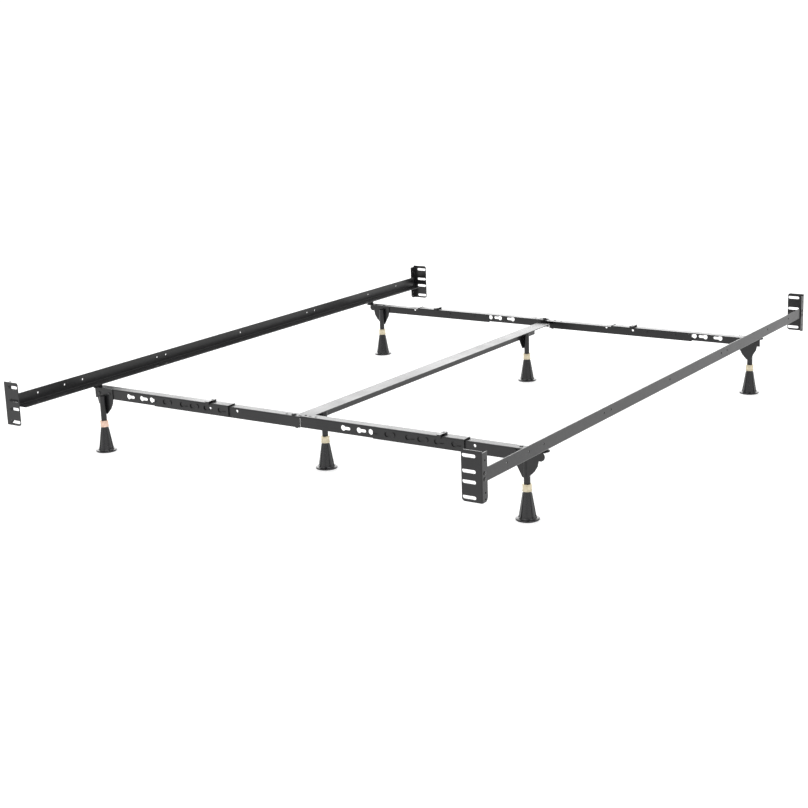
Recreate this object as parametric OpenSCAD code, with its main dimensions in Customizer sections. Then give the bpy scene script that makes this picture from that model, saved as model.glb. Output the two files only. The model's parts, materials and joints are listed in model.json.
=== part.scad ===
/* [Side rails] */
// Width over the outer faces of the two side rails
frame_w = 1530; // [1500:10:1560]
// Length over the outer faces of the end plates
frame_l = 2073.2; // [2040:1.6:2110]
// Height of the underside of the rails' seat flanges above the floor
seat_z = 193; // [193:0.5:200]
// Height of a rail's upright flange
rail_h = 34; // [30:1:40]
// Width of a rail's seat flange
rail_seat = 41; // [36:1:46]
// Radius of the small holes along a rail's upright
rail_hole_r = 3; // [2:0.5:4]

/* [Cross arms] */
// Distance from the middle of the frame to the outer face of a cross arm
cross_y = 716; // [700:1:730]
// Height of a cross arm's upright flange
arm_h = 30.2; // [28:0.2:32]
// Width of a cross arm's top flange
arm_d = 30; // [28:1:32]
// Height of the top face of the outer, keyholed arms
outer_top = 186; // [184:0.5:186]
// Gap between an outer arm and the inner arm nested in it
nest_gap = 0.2; // [0.1:0.1:0.3]
// How far an outer arm is slid over the inner arm beside it
lap = 280; // [270:2:290]

/* [Keyholes] */
// Radius of a keyhole's round end, which a stud's head passes through
key_r = 7.5; // [7.2:0.1:8]
// Half the width of a keyhole's narrow slot
key_slot_r = 4.25; // [4.1:0.05:4.5]
// Length of a keyhole
key_len = 30.5; // [28:0.5:32]

/* [End brackets] */
// Height of an end plate
plate_h = 122.4; // [118:0.4:126]
// Width of an end plate
plate_w = 54; // [52:1:60]
// Length of a bolt slot
slot_len = 37; // [30:1:40]
// Half the height of a bolt slot
slot_r = 4.25; // [4:0.25:4.5]

/* [Centre beam] */
// Width of the beam's top flange
beam_w = 52; // [48:1:56]
// Height of the beam's web, top flange included
beam_h = 36; // [32:1:40]

/* [Legs] */
// Radius of a foot's base
foot_r = 30.25; // [26:0.25:34]
// Height of the plastic foot
foot_h = 73.3; // [70:0.1:74]
// Radius of a glide's steel stem
stem_r = 5.5; // [5:0.1:6]
// Outer radius of a leg socket
socket_r = 8.5; // [8:0.1:9]

/* [Hidden] */
$fn = 48;
t = 2.5;                        // sheet thickness of rails, arms, beam and leg brackets
plate_t = 3;                    // sheet thickness of the end brackets
bend_r = 3.5;                   // outer radius of a folded corner
half_w = frame_w / 2;
half_l = frame_l / 2;
rivet_clear = 0.02;             // a set rivet fills its hole
run_clear = 0.06;               // a rivet that a part turns on
pivot_x = half_w - 23;
pivot_y = cross_y - 15;
pivot_r = 4;
sink_r = 6;                     // countersunk head of a pivot rivet
sink_h = 1.5;
open_pivot_clear = 0.4;         // room at the second pivot of each rail
arm_end_r = 15;
inner_top = outer_top - t - nest_gap;
inner_y = cross_y - t - nest_gap;

// Ends of the four front arms along X; the back arms are the same, turned about Z
a_x0 = -pivot_x - arm_end_r;
a_tip = -237;
b_x0 = a_tip - lap + 4;
b_x1 = 7.5;
c_x0 = 12;
c_tip = a_tip + 762;
d_x0 = c_tip - lap;
d_x1 = pivot_x + arm_end_r;
d_upright_end = 675;
keyholes = [380, 329.4, 292, 241, 177, 140, 89.4, 38]; // tip to the start of each keyhole
key_run = key_len - key_slot_r;  // start of a keyhole to its slot's last centre
studs = [keyholes[3] - key_run + 0.3, keyholes[5] - key_run + 0.3]; // tip to each stud
key_z = 171;
lip_w = 3;
lip_t = 1.2;
clip_back = 74;                 // tip to the middle of the clip
clip_w = 12;
clip_rise = 5.2;
clip_rivet_y = -cross_y + 22;
see_through_back = 67.5;        // tip to the hole seen through a keyhole
end_hole_in = 29;               // tip to the spare hole in the inner arm
spare_r = 4;
small_r = 3;
clip_rivet_r = 2;
stud_r = 4;
stud_head_r = 6.8;

rail_hole_y = [-918, -814, -742, -422, -382, -18, 346, 390, 718, 902];
rail_hole_z = 20;

plate_mid = seat_z + 16.5;
plate_z0 = plate_mid - plate_h / 2;
slot_mid = plate_mid - 1.6;
slot_z = [-49.2, -12.5, 12.5, 49.2];
slot_x = half_w - 31.5;
side_flange = 25.2;
bracket_rivet_z = [10, 24];
bracket_rivet_y = half_l - 13;
seat_relief = 34;
rail_end_gap = 1.2;              // keeps the rail's ends clear of the brackets' bends

beam_x = -33;
beam_top = 177;
beam_l = 2 * (pivot_y + 8.5);
beam_web_l = 1300;
end_clear = 9.2;
fold_limit = 40;
bolt_x = -20;
bolt_r = 4;

splice_x0 = -58;
splice_x1 = 62;
splice_w = 17;
splice_rivet_x = [-44, 0, 34, 54];
splice_rivet_r = 2.5;

left_leg_x = 705.5;
right_leg_x = 694;
left_shield = [34.5, 26.5];      // half widths of a leg bracket's plate, inboard and outboard
right_shield = [28, 38];
center_shield = [30, 22];
left_leg_rivets = [-18, 22];
right_leg_rivets = [-18, 18];
center_leg_rivets_y = [-12, 16];
ear_r = 12;
leg_off = socket_r - 0.8;        // leg axis to the near face of its bracket plate
left_leg_y = -cross_y - t - leg_off;
right_leg_y = -inner_y + 2 * t + leg_off;
center_leg_x = -17.25;
center_rivet_z = 156;
center_leg_y = 570;
socket_z = 92.6;
ring_z = foot_h + 0.1;
ring_r = 12.6;
stem_z = 20;
stem_top = 150;

black = [0.11, 0.11, 0.12];
plastic = [0.06, 0.06, 0.07];
brass = [0.80, 0.66, 0.44];
zinc = [0.78, 0.79, 0.80];

// ---------- shared shapes ----------

// Section of a folded angle: corner at the origin, one flange along +X, the other along -Y
module angle_section(h, d, sheet = t) {
  angle_upright(h, sheet);
  translate([bend_r, -sheet]) square([d - bend_r, sheet]);
}

// The -Y flange of a folded angle with its bend
module angle_upright(h, sheet = t) {
  translate([0, -h]) square([sheet, h - bend_r]);
  intersection() {
    translate([0, -bend_r]) square(bend_r);
    translate([bend_r, -bend_r]) difference() {
      circle(bend_r);
      circle(bend_r - sheet);
    }
  }
}

// Cylinder of radius r along a row axis, from a to b
module rod_x(r, a, b) { translate([a, 0, 0]) rotate([0, 90, 0]) cylinder(r = r, h = b - a); }
module rod_y(r, a, b) { translate([0, b, 0]) rotate([90, 0, 0]) cylinder(r = r, h = b - a); }

// Set rivet along +Z: a shank from 0 to grip with a crowned head at each end
module rivet(r, grip, head_r, head_h) {
  cylinder(r = r, h = grip);
  for (end = [0, 1]) translate([0, 0, end * grip]) mirror([0, 0, 1 - end]) {
    cylinder(r = head_r, h = head_h * 0.5);
    translate([0, 0, head_h * 0.5]) cylinder(r1 = head_r, r2 = head_r * 0.55, h = head_h * 0.5);
  }
}

// Slot with round ends along X, centred
module slot_2d(len, r) {
  square([len - 2 * r, 2 * r], center = true);
  for (s = [-1, 1]) translate([s * (len / 2 - r), 0]) circle(r);
}

// Keyhole that starts at x = 0: round end first, narrow slot after it
module keyhole_2d() {
  translate([key_r, 0]) circle(key_r);
  translate([key_r, -key_slot_r]) square([key_run - key_r, 2 * key_slot_r]);
  translate([key_run, 0]) circle(key_slot_r);
}

// Cut that rounds a plate's corner at the origin, for a plate on the +X +Y side
module corner_cut(r) {
  difference() {
    translate([-1, -1]) square(r + 1);
    translate([r, r]) circle(r);
  }
}

// Puts a front piece at the back of the frame
module at_back() { rotate([0, 0, 180]) children(); }

// ---------- side rails ----------

// Upright flange of the left rail with the bend below it
module rail_upright() {
  difference() {
    translate([-half_w, 0, seat_z]) rotate([90, 0, 0])
      linear_extrude(frame_l - 2 * plate_t - rail_end_gap, center = true)
        mirror([0, 1]) angle_upright(rail_h);
    for (y = rail_hole_y) translate([0, y, seat_z + rail_hole_z])
      rod_x(rail_hole_r, -half_w - 1, -half_w + t + 1);
    for (e = [-1, 1], z = bracket_rivet_z) translate([0, e * bracket_rivet_y, seat_z + z])
      rod_x(small_r + rivet_clear, -half_w - 1, -half_w + t + 1);
  }
}

// Seat flange of the left rail; it stops short of the end plates to leave room for the board's bolts
module rail_seat_flange() {
  difference() {
    translate([-half_w + bend_r, -half_l + seat_relief, seat_z])
      cube([rail_seat - bend_r, 2 * (half_l - seat_relief), t]);
    for (e = [-1, 1]) translate([-pivot_x, e * pivot_y, seat_z]) {
      translate([0, 0, -1]) cylinder(r = pivot_r + rivet_clear, h = t + 2);
      translate([0, 0, t - sink_h])
        cylinder(r1 = pivot_r + rivet_clear, r2 = sink_r + rivet_clear, h = sink_h);
    }
  }
}

// End bracket of the left rail's front end: a slotted end plate and a side flange
module end_bracket() {
  x0 = -half_w - plate_t;
  difference() {
    translate([x0, -half_l, plate_z0]) linear_extrude(plate_h)
      mirror([0, 1]) angle_section(side_flange, plate_w, plate_t);
    translate([-slot_x, -half_l - 1, slot_mid]) rotate([-90, 0, 0])
      linear_extrude(plate_t + 2)
        for (z = slot_z) translate([0, z]) slot_2d(slot_len, slot_r);
    translate([x0 + plate_w, -half_l - 1, plate_z0]) rotate([90, 0, 0]) mirror([0, 0, 1])
      linear_extrude(plate_t + 2) mirror([1, 0]) corner_cut(8);
    translate([x0 + plate_w, -half_l - 1, plate_z0 + plate_h]) rotate([90, 0, 0]) mirror([0, 0, 1])
      linear_extrude(plate_t + 2) mirror([1, 0]) mirror([0, 1]) corner_cut(8);
    translate([x0 - 1, -half_l + side_flange, plate_z0]) rotate([90, 0, 90])
      linear_extrude(plate_t + 2) mirror([1, 0]) corner_cut(12);
    translate([x0 - 1, -half_l + plate_t + 1, plate_z0 + plate_h - 4.7])
      cube([plate_t + 1.5, side_flange, 6]);
    for (z = [-54.5, -39, 37.5]) translate([0, -half_l + 14.6, plate_mid + z])
      rod_x(2.5, x0 - 1, x0 + plate_t + 1);
    for (z = bracket_rivet_z) translate([0, -bracket_rivet_y, seat_z + z])
      rod_x(small_r + rivet_clear, x0 - 1, x0 + plate_t + 1);
  }
}

// Rivets of the left rail: two at each end bracket and one at each arm, flush with the seat
module rail_rivets() {
  for (e = [-1, 1]) {
    for (z = bracket_rivet_z)
      translate([-half_w - plate_t, e * bracket_rivet_y, seat_z + z]) rotate([0, 90, 0])
        rivet(small_r, plate_t + t, 5, 1.5);
    arm_top = (e < 0) ? outer_top : inner_top;
    translate([-pivot_x, e * pivot_y, arm_top - t - 0.1]) {
      cylinder(r = pivot_r, h = seat_z + 2 * t - sink_h - arm_top + 0.1);
      mirror([0, 0, 1]) cylinder(r1 = 7, r2 = 4, h = 1.6);
    }
    translate([-pivot_x, e * pivot_y, seat_z + t - sink_h]) cylinder(r1 = pivot_r, r2 = sink_r, h = sink_h);
  }
}

// Turned spacers between the left rail's seat and the two arms under it
module pivot_spacers() {
  for (e = [-1, 1]) {
    z0 = ((e < 0) ? outer_top : inner_top) + 0.1;
    translate([-pivot_x, e * pivot_y, z0]) difference() {
      cylinder(r = 11, h = seat_z - z0);
      translate([0, 0, -1]) cylinder(r = pivot_r + rivet_clear, h = seat_z - z0 + 2);
    }
  }
}

// ---------- cross arms ----------

// Angle from x0 to x1, with its upright's outer face at y = -face and its top at z = top
module arm_blank(x0, x1, face, top) {
  translate([x0, -face, top]) rotate([90, 0, 90]) linear_extrude(x1 - x0) angle_section(arm_h, arm_d);
}

// Cut that rounds an arm's top flange about its pivot; side is -1 at a left end, 1 at a right end
module arm_end_cut(side, top) {
  translate([side * pivot_x, -pivot_y, top - t - 5]) linear_extrude(t + 10) difference() {
    translate([(side < 0) ? -arm_end_r - 2 : 0, -arm_end_r - 4]) square([arm_end_r + 2, 2 * arm_end_r + 8]);
    circle(arm_end_r);
  }
}

module flange_hole(x, r) { translate([x, -pivot_y, inner_top - 12]) cylinder(r = r, h = 24); }
module upright_hole(x, z, r) { translate([x, 0, z]) rod_y(r, -cross_y - 6, -cross_y + 12); }

// Keyholed outer arm that ends at tip, with a raised lip round its last few millimetres
module outer_arm(x0, tip) {
  difference() {
    union() {
      arm_blank(x0, tip, cross_y, outer_top);
      translate([tip - lip_w, -cross_y - lip_t, outer_top - arm_h]) cube([lip_w, lip_t + 1, arm_h]);
      translate([tip - lip_w, -cross_y - lip_t, outer_top - 1]) cube([lip_w, arm_d + lip_t, 1 + lip_t]);
    }
    translate([0, -cross_y - 3, key_z]) rotate([-90, 0, 0]) linear_extrude(t + 4)
      for (k = keyholes) if (tip - k > x0 + 60) translate([tip - k, 0]) keyhole_2d();
    translate([tip - clip_back, clip_rivet_y, outer_top - t - 1])
      cylinder(r = clip_rivet_r + rivet_clear, h = t + 2);
  }
}

module front_left_arm_shape() {
  difference() {
    outer_arm(a_x0, a_tip);
    arm_end_cut(-1, outer_top);
    translate([a_x0 - 5, -cross_y - 5, outer_top - arm_h - 1]) cube([20, 9, arm_h - t - 0.5]);
    translate([-pivot_x, -pivot_y, outer_top - 10]) cylinder(r = pivot_r + run_clear, h = 20);
    for (x = left_leg_rivets) upright_hole(x - left_leg_x, key_z, small_r + rivet_clear);
  }
}

module center_right_arm_shape() {
  difference() {
    outer_arm(c_x0, c_tip);
    for (x = splice_rivet_x) if (x > c_x0) flange_hole(x, splice_rivet_r + rivet_clear);
    // The same arm carries the beam's bolt when it is turned to the back
    flange_hole(-bolt_x, bolt_r + run_clear);
  }
}

// Inner arm with its stud holes and a spare hole
module inner_arm(x0, x1, tip) {
  difference() {
    arm_blank(x0, x1, inner_y, inner_top);
    for (s = studs) upright_hole(tip - s, key_z, stud_r + rivet_clear);
    upright_hole(tip + end_hole_in, key_z + 3, spare_r);
  }
}

module center_left_arm_shape() {
  difference() {
    inner_arm(b_x0, b_x1, a_tip);
    upright_hole(a_tip - see_through_back, key_z + 1, spare_r);
    for (x = splice_rivet_x) if (x < b_x1) flange_hole(x, splice_rivet_r + rivet_clear);
    flange_hole(bolt_x, bolt_r + run_clear);
  }
  translate([b_x1 - 15.5, -inner_y, inner_top - arm_h - 2]) cube([8, t, 3]);
}

module front_right_arm_shape() {
  difference() {
    inner_arm(d_x0, d_x1, c_tip);
    arm_end_cut(1, inner_top);
    translate([d_upright_end, -inner_y - 3, inner_top - arm_h - 1]) cube([100, 6, arm_h - t]);
    translate([d_upright_end, -inner_y + t + 1, inner_top - t]) rotate([90, 0, 0])
      linear_extrude(t + 3) mirror([1, 0]) mirror([0, 1]) corner_cut(9);
    translate([pivot_x, -pivot_y, inner_top - 10])
      cylinder(r = pivot_r + open_pivot_clear, h = 20);
    for (x = right_leg_rivets)
      translate([right_leg_x + x, right_leg_y + 6, inner_top - t - 1])
        cylinder(r = small_r + rivet_clear, h = t + 2);
  }
}

// Joggled strap under the top flanges of the two centre arms of a cross member
module splice_shape() {
  b_under = inner_top - t;
  c_under = outer_top - t;
  difference() {
    translate([0, -pivot_y + splice_w / 2, 0]) rotate([90, 0, 0]) linear_extrude(splice_w) polygon([
      [splice_x0, b_under], [b_x1 + 0.5, b_under], [c_x0 - 0.2, c_under], [splice_x1, c_under],
      [splice_x1, c_under - t], [c_x0 + 0.8, c_under - t], [b_x1 + 1.5, b_under - t],
      [splice_x0, b_under - t]]);
    for (x = splice_rivet_x) flange_hole(x, splice_rivet_r + rivet_clear);
    for (side = [-1, 1]) flange_hole(side * bolt_x, bolt_r + run_clear);
  }
}

// Stud on an inner arm: a shank through the keyhole and a head outside the outer arm
module key_stud(x) {
  translate([x, -inner_y + t + 1.5, key_z]) rotate([90, 0, 0]) {
    cylinder(r = 6, h = 1.5);
    cylinder(r = stud_r, h = 1.5 + cross_y - inner_y + 1 + t);
    translate([0, 0, 1.5 + t + cross_y - inner_y + 0.3]) cylinder(r = stud_head_r, h = 1.6);
  }
}

// Clip rivet through an outer arm's top flange, flush below, where the inner arm slides
module clip_rivet(tip) {
  translate([tip - clip_back, clip_rivet_y, outer_top - t]) {
    cylinder(r = clip_rivet_r, h = t + clip_rise);
    translate([0, 0, t + clip_rise]) cylinder(r1 = 3.4, r2 = 2, h = 0.8);
  }
}

// Rivets of the front cross member's centre: studs, splice rivets and the clip's rivet
module center_rivets() {
  for (s = studs) key_stud(a_tip - s);
  for (x = splice_rivet_x) translate([x, -pivot_y, ((x < b_x1) ? inner_top : outer_top) - 2 * t])
    rivet(splice_rivet_r, 2 * t, 4, 1);
  clip_rivet(c_tip);
}

// Clip over an outer arm's top flange: a riveted pad, a raised bar and a finger down the face
module clip_shape(tip) {
  finger = [-1.7, -0.2];
  gap = 3.4;
  pad = 14;
  difference() {
    translate([tip - clip_back - clip_w / 2, -cross_y, outer_top]) rotate([90, 0, 90])
      linear_extrude(clip_w) polygon([[-5, gap], [-5, clip_rise], [arm_d + 1.6, clip_rise],
        [arm_d + 1.6, -t], [arm_d + 0.1, -t], [arm_d + 0.1, 0], [pad, 0], [pad, gap],
        [finger[1], gap], [finger[1], -6], [finger[0], -6], [finger[0], gap]]);
    translate([tip - clip_back, clip_rivet_y, outer_top - 1])
      cylinder(r = clip_rivet_r + rivet_clear, h = clip_rise + 2);
  }
}

// ---------- legs ----------

// Outline of a leg bracket: wide at the top, narrow where the socket leaves it
module shield_2d(top, half) {
  inner = half[0];
  outer = half[1];
  polygon([[inner, top], [inner, 156], [inner - 3, 142], [inner - 12, 126], [socket_r - 1, 110],
    [-socket_r + 1, 110], [-outer + 12, 128], [-outer + 3, 142], [-outer, 156], [-outer, top]]);
}

module stem_bore() {
  translate([0, 0, socket_z - 1]) cylinder(r = stem_r + run_clear, h = stem_top + 1.5 - socket_z);
}

// Socket and plate of a corner leg about its own axis: outboard is -X, the arm is on the +Y side
module corner_bracket_body(top, half) {
  translate([0, leg_off + t, 0]) rotate([90, 0, 0]) linear_extrude(t) shield_2d(top, half);
  translate([0, 0, socket_z]) cylinder(r = socket_r, h = stem_top + 15 - socket_z);
  translate([-4, 0, 120]) cube([8, leg_off + 1, stem_top + 15 - 120]);
}

// Bracket riveted to the face of an outer arm
module face_bracket() {
  difference() {
    corner_bracket_body(outer_top, left_shield);
    stem_bore();
    for (x = left_leg_rivets) translate([x, 0, key_z]) rod_y(small_r + rivet_clear, 1, 20);
  }
}

// Bracket under the top flange of an inner arm, with a tab, an ear and a pressed rib
module tab_bracket() {
  top = inner_top - t;
  difference() {
    union() {
      corner_bracket_body(top, right_shield);
      translate([-right_shield[1] - 5, leg_off + t, top - ear_r - 0.2]) rotate([90, 0, 0])
        cylinder(r = ear_r, h = t);
      translate([0, leg_off + t - 1, 112]) cylinder(r = 4, h = 56);
      translate([-right_shield[1], -12, top - t])
        cube([right_shield[0] + right_shield[1], leg_off + 14, t]);
    }
    stem_bore();
    // Clears the inside of the arm's bend
    translate([-52, leg_off + t - 1.1, top - 1.1]) cube([104, 2, 2]);
    for (x = right_leg_rivets) translate([-x, -6, top - 5])
      cylinder(r = small_r + rivet_clear, h = 10);
  }
}

module left_bracket_shape() { at_left() face_bracket(); }
module right_bracket_shape() { at_right() rotate([0, 0, 180]) tab_bracket(); }

// Rivets of the front left arm: two through the leg bracket and the clip's own
module left_arm_rivets() {
  for (x = left_leg_rivets) translate([x - left_leg_x, -cross_y + t, key_z]) rotate([90, 0, 0])
    rivet(small_r, 2 * t, 5.5, 1.6);
  clip_rivet(a_tip);
}

// Rivets of the front right arm: two through the leg bracket's tab, and the keyhole studs
module right_arm_rivets() {
  for (x = right_leg_rivets) translate([right_leg_x + x, right_leg_y + 6, inner_top - 2 * t])
    rivet(small_r, 2 * t, 5.5, 1.6);
  for (s = studs) key_stud(c_tip - s);
}

// Bracket of a centre leg, inside the beam's angle: a plate on the web and a socket beside it
module center_bracket() {
  web = beam_x + t - center_leg_x;
  difference() {
    union() {
      translate([web, 0, 0]) rotate([90, 0, 90]) linear_extrude(t)
        mirror([1, 0]) shield_2d(beam_top - t - 2, center_shield);
      translate([0, 0, socket_z]) cylinder(r = socket_r, h = stem_top + 12 - socket_z);
      translate([web + t - 0.5, -4, 112]) cube([-web - t + 0.5, 8, 50]);
    }
    stem_bore();
    for (y = center_leg_rivets_y) translate([0, y, center_rivet_z])
      rod_x(small_r + rivet_clear, web - 1, web + t + 1);
  }
}

module center_leg_at(e) { translate([center_leg_x, e * center_leg_y, 0]) children(); }

module center_leg_rivet_set() {
  for (e = [-1, 1]) center_leg_at(e) for (y = center_leg_rivets_y)
    translate([beam_x - center_leg_x, y, center_rivet_z]) rotate([0, 90, 0])
      rivet(small_r, 2 * t, 5, 1.4);
}

// Brass-plated ring between the foot and the socket, with a bead at each edge
module ring_shape() {
  h = socket_z - 0.1 - ring_z;
  translate([0, 0, ring_z]) rotate_extrude() polygon([
    [stem_r + 0.02, 0], [ring_r - 0.5, 0], [ring_r, 0.6], [ring_r, 3], [ring_r - 0.8, 4],
    [ring_r - 0.8, h - 4], [ring_r, h - 3], [ring_r, h - 0.6], [ring_r - 0.5, h], [stem_r + 0.02, h]]);
}

module stem_shape() {
  translate([0, 0, stem_z]) cylinder(r = stem_r, h = stem_top - stem_z - 1);
  translate([0, 0, stem_top - 1]) cylinder(r1 = stem_r, r2 = stem_r - 1, h = 1);
}

// Moulded foot: a flared base, a tall cone and shallow ribs up its sides
module foot_shape() {
  neck_r = 11.2;
  hem_r = 20;
  difference() {
    union() {
      rotate_extrude() polygon([[0, 0], [foot_r - 1, 0], [foot_r, 1], [foot_r, 3], [foot_r - 1.2, 4.2],
        [hem_r + 4, 5], [hem_r + 1, 7.5], [hem_r, 11], [neck_r, foot_h - 3], [neck_r, foot_h], [0, foot_h]]);
      for (a = [22.5:45:359]) rotate([90, 0, a]) linear_extrude(2.4, center = true)
        polygon([[4, 4], [hem_r + 4, 4], [hem_r + 1.6, 11], [neck_r + 0.9, foot_h - 4], [4, foot_h - 4]]);
    }
    translate([0, 0, stem_z]) cylinder(r = stem_r + 0.02, h = foot_h);
  }
}

module at_left() { translate([-left_leg_x, left_leg_y, 0]) children(); }
module at_right() { translate([right_leg_x, right_leg_y, 0]) children(); }

// ---------- centre beam ----------

module beam_shape() {
  cut = (beam_l - beam_web_l) / 2 + 1;
  difference() {
    translate([beam_x, 0, beam_top]) rotate([90, 0, 0])
      linear_extrude(beam_l, center = true) angle_section(beam_h, beam_w);
    for (e = [-1, 1]) {
      translate([beam_x - 1, e * (beam_web_l + cut) / 2 - cut / 2, beam_top - beam_h - 1])
        cube([bend_r + 1, cut, beam_h - t + 1]);
      translate([bolt_x, e * pivot_y, beam_top - 10]) {
        cylinder(r = bolt_r + rivet_clear, h = 20);
        // A slanted end clears the arms' uprights when they fold
        rotate([0, 0, fold_limit + 90 * (e - 1)]) translate([-100, end_clear, 0])
          cube([200, 60, 20]);
      }
      center_leg_at(e) for (y = center_leg_rivets_y) translate([0, y, center_rivet_z])
        rod_x(small_r + rivet_clear, beam_x - center_leg_x - 1, beam_x - center_leg_x + t + 1);
    }
  }
}

// Bolts at the two ends of the beam, each with its nut under the beam's flange
module bolt_set() {
  nut_h = 5;
  nut_z = beam_top - t - nut_h;
  for (e = [-1, 1]) {
    head_z = ((e < 0) ? inner_top : outer_top) + 0.1;
    translate([bolt_x, e * pivot_y, 0]) {
      translate([0, 0, nut_z - 2]) cylinder(r = bolt_r, h = head_z - nut_z + 2);
      translate([0, 0, head_z]) cylinder(r = 7, h = 1.6);
      translate([0, 0, head_z + 1.6]) cylinder(r1 = 7, r2 = 4, h = 1.8);
      translate([0, 0, nut_z]) cylinder(r = 6.3, h = nut_h, $fn = 6);
    }
  }
}

// Spacers between the beam's flange and the strap under the arms
module spacer_set() {
  for (e = [-1, 1]) {
    top = ((e < 0) ? inner_top : outer_top) - 2 * t - 0.1;
    translate([bolt_x, e * pivot_y, beam_top]) difference() {
      cylinder(r = 6.5, h = top - beam_top);
      translate([0, 0, -1]) cylinder(r = bolt_r + rivet_clear, h = 10);
    }
  }
}

// ---------- nodes ----------

module left_rail_upright() { color(black) rail_upright(); }
module left_rail_seat() { color(black) rail_seat_flange(); }
module right_rail_upright() { color(black) mirror([1, 0, 0]) rail_upright(); }
module right_rail_seat() { color(black) mirror([1, 0, 0]) rail_seat_flange(); }
module left_front_bracket() { color(black) end_bracket(); }
module left_back_bracket() { color(black) mirror([0, 1, 0]) end_bracket(); }
module right_front_bracket() { color(black) mirror([1, 0, 0]) end_bracket(); }
module right_back_bracket() { color(black) at_back() end_bracket(); }
module left_rail_rivets() { color(black) rail_rivets(); }
module right_rail_rivets() { color(black) at_back() rail_rivets(); }
module left_pivot_spacers() { color(black) pivot_spacers(); }
module right_pivot_spacers() { color(black) at_back() pivot_spacers(); }
module front_left_arm() { color(black) front_left_arm_shape(); }
module back_right_arm() { color(black) at_back() front_left_arm_shape(); }
module front_center_left_arm() { color(black) center_left_arm_shape(); }
module back_center_right_arm() { color(black) at_back() center_left_arm_shape(); }
module front_center_right_arm() { color(black) center_right_arm_shape(); }
module back_center_left_arm() { color(black) at_back() center_right_arm_shape(); }
module front_right_arm() { color(black) front_right_arm_shape(); }
module back_left_arm() { color(black) at_back() front_right_arm_shape(); }
module front_splice() { color(black) splice_shape(); }
module back_splice() { color(black) at_back() splice_shape(); }
module front_center_rivets() { color(black) center_rivets(); }
module back_center_rivets() { color(black) at_back() center_rivets(); }
module front_left_rivets() { color(black) left_arm_rivets(); }
module back_right_rivets() { color(black) at_back() left_arm_rivets(); }
module front_right_rivets() { color(black) right_arm_rivets(); }
module back_left_rivets() { color(black) at_back() right_arm_rivets(); }
module front_left_clip() { color(black) clip_shape(a_tip); }
module back_right_clip() { color(black) at_back() clip_shape(a_tip); }
module front_right_clip() { color(black) clip_shape(c_tip); }
module back_left_clip() { color(black) at_back() clip_shape(c_tip); }
module center_beam() { color(black) beam_shape(); }
module beam_bolts() { color(black) bolt_set(); }
module beam_spacers() { color(black) spacer_set(); }
module center_leg_rivets() { color(black) center_leg_rivet_set(); }
module front_left_leg_bracket() { color(black) left_bracket_shape(); }
module back_right_leg_bracket() { color(black) at_back() left_bracket_shape(); }
module front_right_leg_bracket() { color(black) right_bracket_shape(); }
module back_left_leg_bracket() { color(black) at_back() right_bracket_shape(); }
module front_center_leg_bracket() { color(black) center_leg_at(-1) center_bracket(); }
module back_center_leg_bracket() { color(black) center_leg_at(1) center_bracket(); }
module front_left_ring() { color(brass) at_left() ring_shape(); }
module front_right_ring() { color(brass) at_right() ring_shape(); }
module back_right_ring() { color(brass) at_back() at_left() ring_shape(); }
module back_left_ring() { color(brass) at_back() at_right() ring_shape(); }
module front_center_ring() { color(brass) center_leg_at(-1) ring_shape(); }
module back_center_ring() { color(brass) center_leg_at(1) ring_shape(); }
module front_left_stem() { color(zinc) at_left() stem_shape(); }
module front_right_stem() { color(zinc) at_right() stem_shape(); }
module back_right_stem() { color(zinc) at_back() at_left() stem_shape(); }
module back_left_stem() { color(zinc) at_back() at_right() stem_shape(); }
module front_center_stem() { color(zinc) center_leg_at(-1) stem_shape(); }
module back_center_stem() { color(zinc) center_leg_at(1) stem_shape(); }
module front_left_foot() { color(plastic) at_left() foot_shape(); }
module front_right_foot() { color(plastic) at_right() foot_shape(); }
module back_right_foot() { color(plastic) at_back() at_left() foot_shape(); }
module back_left_foot() { color(plastic) at_back() at_right() foot_shape(); }
module front_center_foot() { color(plastic) center_leg_at(-1) foot_shape(); }
module back_center_foot() { color(plastic) center_leg_at(1) foot_shape(); }

left_rail_upright();
left_rail_seat();
right_rail_upright();
right_rail_seat();
left_front_bracket();
left_back_bracket();
right_front_bracket();
right_back_bracket();
left_rail_rivets();
right_rail_rivets();
left_pivot_spacers();
right_pivot_spacers();
front_left_arm();
front_center_left_arm();
front_center_right_arm();
front_right_arm();
back_right_arm();
back_center_right_arm();
back_center_left_arm();
back_left_arm();
front_splice();
back_splice();
front_center_rivets();
back_center_rivets();
front_left_rivets();
front_right_rivets();
back_right_rivets();
back_left_rivets();
front_left_clip();
front_right_clip();
back_right_clip();
back_left_clip();
center_beam();
beam_bolts();
beam_spacers();
center_leg_rivets();
front_left_leg_bracket();
front_right_leg_bracket();
back_right_leg_bracket();
back_left_leg_bracket();
front_center_leg_bracket();
back_center_leg_bracket();
front_left_ring();
front_right_ring();
back_right_ring();
back_left_ring();
front_center_ring();
back_center_ring();
front_left_stem();
front_right_stem();
back_right_stem();
back_left_stem();
front_center_stem();
back_center_stem();
front_left_foot();
front_right_foot();
back_right_foot();
back_left_foot();
front_center_foot();
back_center_foot();
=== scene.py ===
import json
import math

import bpy
from mathutils import Matrix, Vector

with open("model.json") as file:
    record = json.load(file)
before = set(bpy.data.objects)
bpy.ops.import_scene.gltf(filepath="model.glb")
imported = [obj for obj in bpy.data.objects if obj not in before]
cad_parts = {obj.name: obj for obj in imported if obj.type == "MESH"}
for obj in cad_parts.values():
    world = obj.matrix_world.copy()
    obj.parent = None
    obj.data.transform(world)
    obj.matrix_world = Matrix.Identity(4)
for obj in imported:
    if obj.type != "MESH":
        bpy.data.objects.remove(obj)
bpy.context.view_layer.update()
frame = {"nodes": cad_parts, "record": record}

NODES = frame["nodes"]
MM = 0.001               # one millimetre in the frame's metres

# ---------------------------------------------------------------- camera

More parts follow.
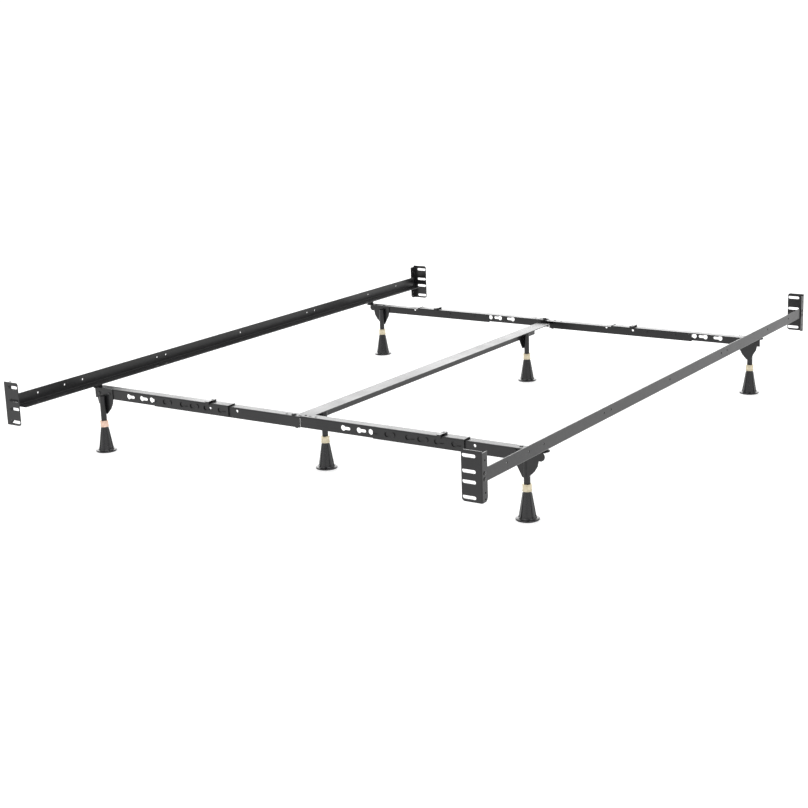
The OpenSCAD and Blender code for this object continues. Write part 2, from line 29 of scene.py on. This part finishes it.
CAMERA_YAW = math.radians(34.064)      # turned from +Y towards -X
CAMERA_PITCH = math.radians(14.407)    # below the horizon
CAMERA_ROLL = math.radians(-2.028)
CAMERA_PLACE = Vector((2.504, -3.9046, 1.247))
LENS_MM = 69.70
SENSOR_MM = 36.0
CAMERA_REACH = 200.0                   # the floor's far corners are inside it


def make_camera():
    """The camera at the photograph's angle."""
    sin_yaw, cos_yaw = math.sin(CAMERA_YAW), math.cos(CAMERA_YAW)
    sin_pitch, cos_pitch = math.sin(CAMERA_PITCH), math.cos(CAMERA_PITCH)
    ahead = Vector((-sin_yaw * cos_pitch, cos_yaw * cos_pitch, -sin_pitch))
    level = Vector((cos_yaw, sin_yaw, 0.0))
    above = level.cross(ahead)
    right = level * math.cos(CAMERA_ROLL) + above * math.sin(CAMERA_ROLL)
    up = right.cross(ahead)
    turn = Matrix((right, up, -ahead)).transposed().to_4x4()
    data = bpy.data.cameras.new("camera")
    data.sensor_width = SENSOR_MM
    data.lens = LENS_MM
    data.clip_end = CAMERA_REACH
    camera = bpy.data.objects.new("camera", data)
    camera.matrix_world = Matrix.Translation(CAMERA_PLACE) @ turn
    bpy.context.scene.collection.objects.link(camera)
    bpy.context.scene.camera = camera


# ---------------------------------------------------------------- node helpers

class Shader:
    """A small builder for one procedural material."""

    def __init__(self, name):
        self.material = bpy.data.materials.new(name)
        self.material.use_nodes = True
        self.tree = self.material.node_tree
        self.surface = self.tree.nodes["Principled BSDF"]
        self.coords = self.add("ShaderNodeTexCoord").outputs["Object"]

    def add(self, kind, **settings):
        node = self.tree.nodes.new(kind)
        for key, value in settings.items():
            setattr(node, key, value)
        return node

    def link(self, source, target):
        self.tree.links.new(source, target)

    def set(self, **values):
        for key, value in values.items():
            self.surface.inputs[key.replace("_", " ")].default_value = value

    def stretched(self, scale):
        """Object coordinates scaled on each axis, for grain with a direction."""
        node = self.add("ShaderNodeMapping")
        node.inputs["Scale"].default_value = scale
        self.link(self.coords, node.inputs["Vector"])
        return node.outputs["Vector"]

    def noise(self, scale, detail=4.0, rough=0.5, vector=None):
        node = self.add("ShaderNodeTexNoise")
        node.inputs["Scale"].default_value = scale
        node.inputs["Detail"].default_value = detail
        node.inputs["Roughness"].default_value = rough
        self.link(vector or self.coords, node.inputs["Vector"])
        return node.outputs["Fac"]

    def spread(self, source, low, high, to_low, to_high):
        """Maps source from low..high to to_low..to_high, clamped."""
        node = self.add("ShaderNodeMapRange")
        limits = {"From Min": low, "From Max": high, "To Min": to_low, "To Max": to_high}
        for key, value in limits.items():
            node.inputs[key].default_value = value
        self.link(source, node.inputs["Value"])
        return node.outputs["Result"]

    def mix(self, factor, first, second):
        node = self.add("ShaderNodeMix", data_type="RGBA")
        self.link(factor, node.inputs["Factor"])
        for socket, value in ((node.inputs[6], first), (node.inputs[7], second)):
            if isinstance(value, tuple):
                socket.default_value = (*value, 1.0)
            else:
                self.link(value, socket)
        return node.outputs[2]

    def multiply(self, first, second):
        node = self.add("ShaderNodeMath", operation="MULTIPLY")
        self.link(first, node.inputs[0])
        if isinstance(second, float):
            node.inputs[1].default_value = second
        else:
            self.link(second, node.inputs[1])
        return node.outputs["Value"]

    def bump(self, height, depth, under=None):
        """Adds a bump of that depth in metres, on top of an earlier one."""
        node = self.add("ShaderNodeBump")
        node.inputs["Distance"].default_value = depth
        self.link(height, node.inputs["Height"])
        if under:
            self.link(under, node.inputs["Normal"])
        return node.outputs["Normal"]

    def edge_wear(self, radius, low, high):
        """1 where the surface turns sharply and 0 on the flat, by comparing it with a rounded normal."""
        rounded = self.add("ShaderNodeBevel", samples=4)
        rounded.inputs["Radius"].default_value = radius
        flat = self.add("ShaderNodeNewGeometry").outputs["Normal"]
        node = self.add("ShaderNodeVectorMath", operation="DOT_PRODUCT")
        self.link(rounded.outputs["Normal"], node.inputs[0])
        self.link(flat, node.inputs[1])
        return self.spread(node.outputs["Value"], low, high, 1.0, 0.0)

    def finish(self, colour, roughness, normal):
        self.link(colour, self.surface.inputs["Base Color"])
        self.link(roughness, self.surface.inputs["Roughness"])
        self.link(normal, self.surface.inputs["Normal"])
        return self.material


# ---------------------------------------------------------------- materials

PAINT_DARK = (0.006, 0.006, 0.0066)
PAINT_LIGHT = (0.012, 0.012, 0.0128)
FASTENER_LIGHT = (0.011, 0.011, 0.0118)
WORN_PAINT = (0.16, 0.16, 0.165)
PAINT_GLOSS = 0.28                     # roughness of the glossiest patches
FASTENER_GLOSS = 0.22
BRASS = (0.60, 0.54, 0.40)
BRASS_TARNISH = (0.46, 0.40, 0.28)
RED_BRASS = (0.72, 0.52, 0.42)
RED_BRASS_TARNISH = (0.56, 0.38, 0.29)
STEEL = (0.5, 0.5, 0.51)
OILY_STEEL = (0.3, 0.29, 0.28)
PLASTIC = (0.008, 0.008, 0.009)
SCUFFED_PLASTIC = (0.05, 0.05, 0.05)
FLOOR_COLOURS = ((0.90, 0.90, 0.90), (0.93, 0.93, 0.93))
WEAR_RADIUS = 0.9 * MM                 # how far from an edge the paint is worn
PEEL_DEPTH = 0.06 * MM
ROLLED_DEPTH = 0.15 * MM
SCUFF_TOP = 20 * MM                    # a foot is scuffed below this height


def black_paint(name, dark, light, gloss):
    """Satin powder coat on steel: orange peel, faint cloudiness and worn edges."""
    m = Shader(name)
    m.set(IOR=1.55, Specular_IOR_Level=0.32, Coat_Weight=0.1, Coat_Roughness=0.2)
    cloud = m.noise(9.0, 5.0, 0.6)
    colour = m.mix(m.spread(cloud, 0.35, 0.7, 0.0, 1.0), dark, light)
    wear_spots = m.spread(m.noise(230.0, 3.0, 0.7), 0.5, 0.62, 0.0, 1.0)
    wear = m.multiply(m.edge_wear(WEAR_RADIUS, 0.86, 0.97), wear_spots)
    colour = m.mix(m.multiply(wear, 0.35), colour, WORN_PAINT)
    peel = m.noise(520.0, 3.0, 0.5)
    rolled = m.noise(60.0, 2.0, 0.5)
    normal = m.bump(peel, PEEL_DEPTH, m.bump(rolled, ROLLED_DEPTH))
    return m.finish(colour, m.spread(cloud, 0.3, 0.75, gloss, gloss + 0.1), normal)


def brushed_brass(name, bright, tarnished):
    """Plated ring: fine turned lines and a little tarnish."""
    m = Shader(name)
    m.set(Metallic=1.0)
    lines = m.noise(1.0, 3.0, 0.6, m.stretched((60.0, 60.0, 2600.0)))
    tarnish = m.noise(120.0, 4.0, 0.6)
    colour = m.mix(m.spread(tarnish, 0.4, 0.7, 0.0, 1.0), bright, tarnished)
    return m.finish(colour, m.spread(lines, 0.3, 0.7, 0.24, 0.42), m.bump(lines, 0.04 * MM))


def drawn_steel():
    """Plain drawn rod: lines along its length and an oily darkening."""
    m = Shader("steel_stem")
    m.set(Metallic=1.0)
    lines = m.noise(1.0, 3.0, 0.6, m.stretched((1800.0, 1800.0, 30.0)))
    oil = m.noise(40.0, 3.0, 0.6)
    colour = m.mix(m.spread(oil, 0.35, 0.7, 0.0, 1.0), STEEL, OILY_STEEL)
    return m.finish(colour, m.spread(lines, 0.3, 0.7, 0.28, 0.45), m.bump(lines, 0.03 * MM))


def moulded_plastic():
    """Black moulded plastic: fine spark-eroded texture, scuffs near the base."""
    m = Shader("foot_plastic")
    m.set(IOR=1.5, Specular_IOR_Level=0.5)
    texture = m.noise(1400.0, 2.0, 0.5)
    scuff = m.spread(m.noise(90.0, 5.0, 0.7), 0.55, 0.7, 0.0, 1.0)
    height = m.add("ShaderNodeSeparateXYZ")
    m.link(m.coords, height.inputs[0])
    low_down = m.spread(height.outputs["Z"], SCUFF_TOP / 5, SCUFF_TOP, 1.0, 0.15)
    colour = m.mix(m.multiply(scuff, low_down), PLASTIC, SCUFFED_PLASTIC)
    normal = m.bump(texture, 0.03 * MM)
    return m.finish(colour, m.spread(scuff, 0.0, 1.0, 0.20, 0.34), normal)


def floor_material():
    """Plain, matt and pale, with a faint glow that keeps the backdrop even."""
    m = Shader("floor")
    m.set(Specular_IOR_Level=0.2, Emission_Strength=0.18)
    grain = m.noise(3.0, 5.0, 0.6)
    colour = m.mix(grain, *FLOOR_COLOURS)
    return m.finish(colour, m.spread(grain, 0.3, 0.7, 0.75, 0.85), m.bump(grain, 0.02 * MM))


def dress_cad_nodes():
    """Gives every CAD node its material by its record slot."""
    finishes = {
        "black_paint": black_paint("black_paint", PAINT_DARK, PAINT_LIGHT, PAINT_GLOSS),
        "black_fastener": black_paint("black_fastener", PAINT_DARK, FASTENER_LIGHT, FASTENER_GLOSS),
        "steel_stem": drawn_steel(),
        "brass_ring": brushed_brass("brass_ring", BRASS, BRASS_TARNISH),
        "foot_plastic": moulded_plastic(),
    }
    # One ring has a redder plating than the others
    redder = {"front_left_ring": brushed_brass("brass_ring_red", RED_BRASS, RED_BRASS_TARNISH)}
    for part in frame["record"]["subparts"]:
        piece = NODES[part["node"]]
        piece.data.materials.clear()
        piece.data.materials.append(redder.get(part["node"], finishes[part["material_slot"]]))


# ---------------------------------------------------------------- stage

FLOOR_HALF = 40.0
WORLD_STRENGTH = 1.05
MIDDLE = (0.0, 0.0, 0.2)               # what the lights face


def make_floor():
    mesh = bpy.data.meshes.new("floor")
    turns = ((-1, -1), (1, -1), (1, 1), (-1, 1))
    corners = [(x * FLOOR_HALF, y * FLOOR_HALF, 0.0) for x, y in turns]
    mesh.from_pydata(corners, [], [(0, 1, 2, 3)])
    mesh.materials.append(floor_material())
    floor = bpy.data.objects.new("floor", mesh)
    bpy.context.scene.collection.objects.link(floor)


def softbox(name, place, size, radiance):
    """A rectangular light that faces the middle; radiance is the brightness of its face."""
    data = bpy.data.lights.new(name, "AREA")
    data.shape = "RECTANGLE"
    data.size, data.size_y = size
    data.energy = radiance * math.pi * size[0] * size[1]
    lamp = bpy.data.objects.new(name, data)
    lamp.location = place
    lamp.rotation_euler = (Vector(MIDDLE) - Vector(place)).to_track_quat("-Z", "Y").to_euler()
    lamp.visible_camera = False
    bpy.context.scene.collection.objects.link(lamp)


def make_light():
    """An even white sky, a softbox overhead and a wide panel behind the object."""
    world = bpy.data.worlds.new("studio")
    world.use_nodes = True
    back = world.node_tree.nodes["Background"]
    back.inputs["Color"].default_value = (1.0, 1.0, 1.0, 1.0)
    back.inputs["Strength"].default_value = WORLD_STRENGTH
    bpy.context.scene.world = world
    softbox("overhead", (0.5, -0.5, 4.5), (5.0, 5.0), 0.9)
    softbox("far_panel", (-4.6, 6.4, 2.1), (10.0, 3.4), 2.6)


bpy.context.scene.view_settings.view_transform = "Standard"
make_camera()
make_floor()
make_light()
dress_cad_nodes()
